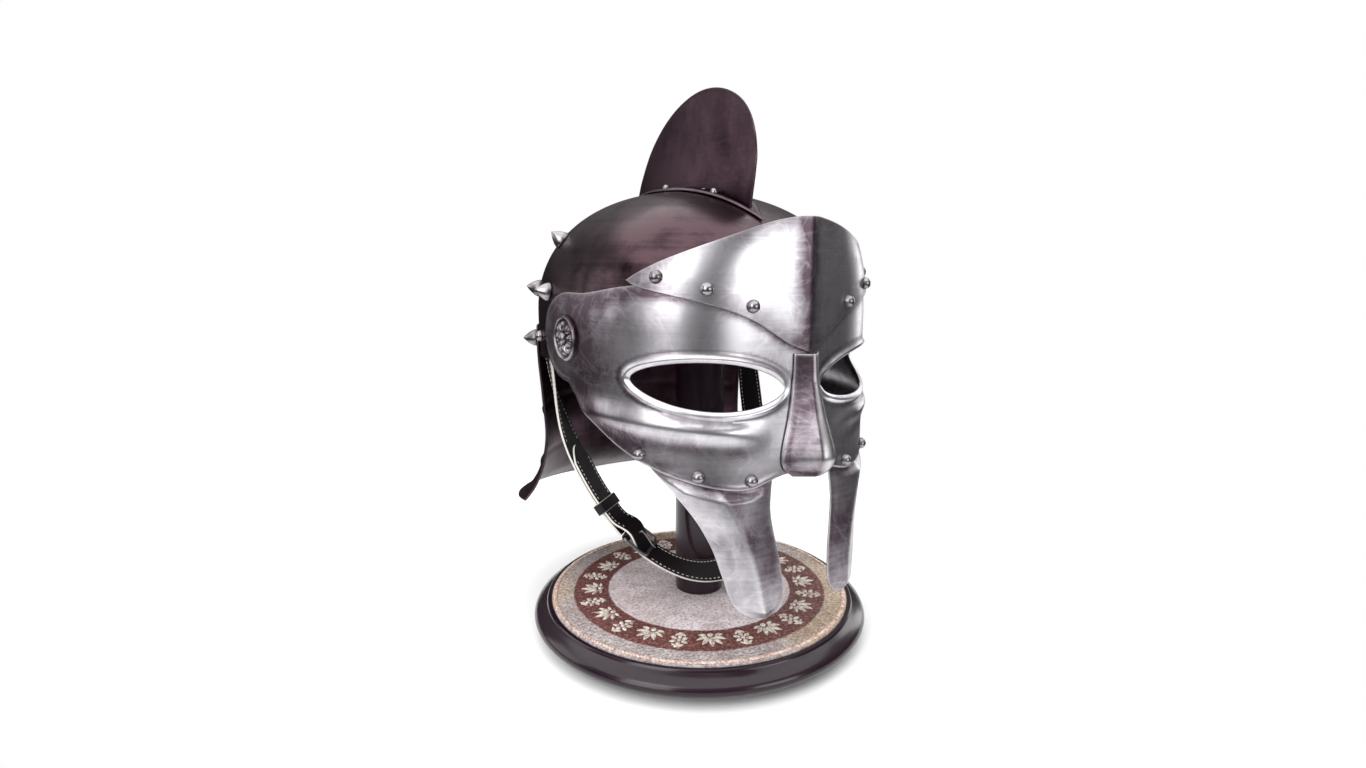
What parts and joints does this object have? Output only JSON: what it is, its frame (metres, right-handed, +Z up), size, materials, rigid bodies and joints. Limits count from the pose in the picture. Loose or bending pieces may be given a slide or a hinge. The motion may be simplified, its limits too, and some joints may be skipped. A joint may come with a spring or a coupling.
{
  "type": "gladiator helmet on a display stand",
  "caption": "Riveted steel arena helmet with crest fin, brow plate, nasal, long cheek guards, neck guard and chin strap, on a round turned display stand.",
  "frame": {"origin": "centre of the stand's underside", "axes": "+Z up, the face looks along -Y, the wearer's right is -X"},
  "size_m": [0.28, 0.3449, 0.4321],
  "materials": {
    "browned_steel": "brown antiqued brushed steel",
    "dark_steel": "dark antiqued brushed steel",
    "bright_steel": "bright brushed steel with brown patina",
    "polished_steel": "polished steel",
    "black_leather": "black strap leather with pale cut edges",
    "ebonised_wood": "satin black lacquer on turned wood",
    "stone_disc": "cast stone disc with a coloured ornament"
  },
  "bodies": {
    "root": {"stand_plinth": "ebonised_wood", "stand_disc": "stone_disc", "stand_post": "ebonised_wood", "bowl": "browned_steel", "crest_saddle": "browned_steel", "crest_fin": "dark_steel", "face_plate": "bright_steel", "brow_plate": "bright_steel", "nasal": "bright_steel", "cheek_guard_right": "bright_steel", "cheek_guard_left": "bright_steel", "neck_guard": "dark_steel", "strap_buckle_end": "black_leather", "strap_tip_end": "black_leather", "strap_keeper": "black_leather", "buckle_frame": "polished_steel", "buckle_prong": "polished_steel", "temple_boss_right": "polished_steel", "strap_stud_right": "polished_steel", "brow_stud_right_1": "polished_steel", "brow_stud_right_2": "polished_steel", "brow_stud_right_3": "polished_steel", "cheek_stud_right_1": "polished_steel", "cheek_stud_right_2": "polished_steel", "cheek_stud_right_3": "polished_steel", "saddle_stud_right_1": "polished_steel", "saddle_stud_right_2": "polished_steel", "saddle_stud_right_3": "polished_steel", "temple_boss_left": "polished_steel", "strap_stud_left": "polished_steel", "brow_stud_left_1": "polished_steel", "brow_stud_left_2": "polished_steel", "brow_stud_left_3": "polished_steel", "cheek_stud_left_1": "polished_steel", "cheek_stud_left_2": "polished_steel", "cheek_stud_left_3": "polished_steel", "saddle_stud_left_1": "polished_steel", "saddle_stud_left_2": "polished_steel", "saddle_stud_left_3": "polished_steel", "bowl_stud_right_1": "polished_steel", "bowl_stud_right_2": "polished_steel", "bowl_stud_right_3": "polished_steel", "bowl_stud_right_4": "polished_steel", "bowl_stud_right_5": "polished_steel", "bowl_stud_left_1": "polished_steel", "bowl_stud_left_2": "polished_steel", "bowl_stud_left_3": "polished_steel", "bowl_stud_left_4": "polished_steel", "bowl_stud_left_5": "polished_steel", "neck_stud_1": "polished_steel", "neck_stud_2": "polished_steel", "neck_stud_3": "polished_steel", "neck_stud_4": "polished_steel", "neck_stud_5": "polished_steel", "neck_stud_6": "polished_steel", "neck_stud_7": "polished_steel"}
  },
  "joints": []
}
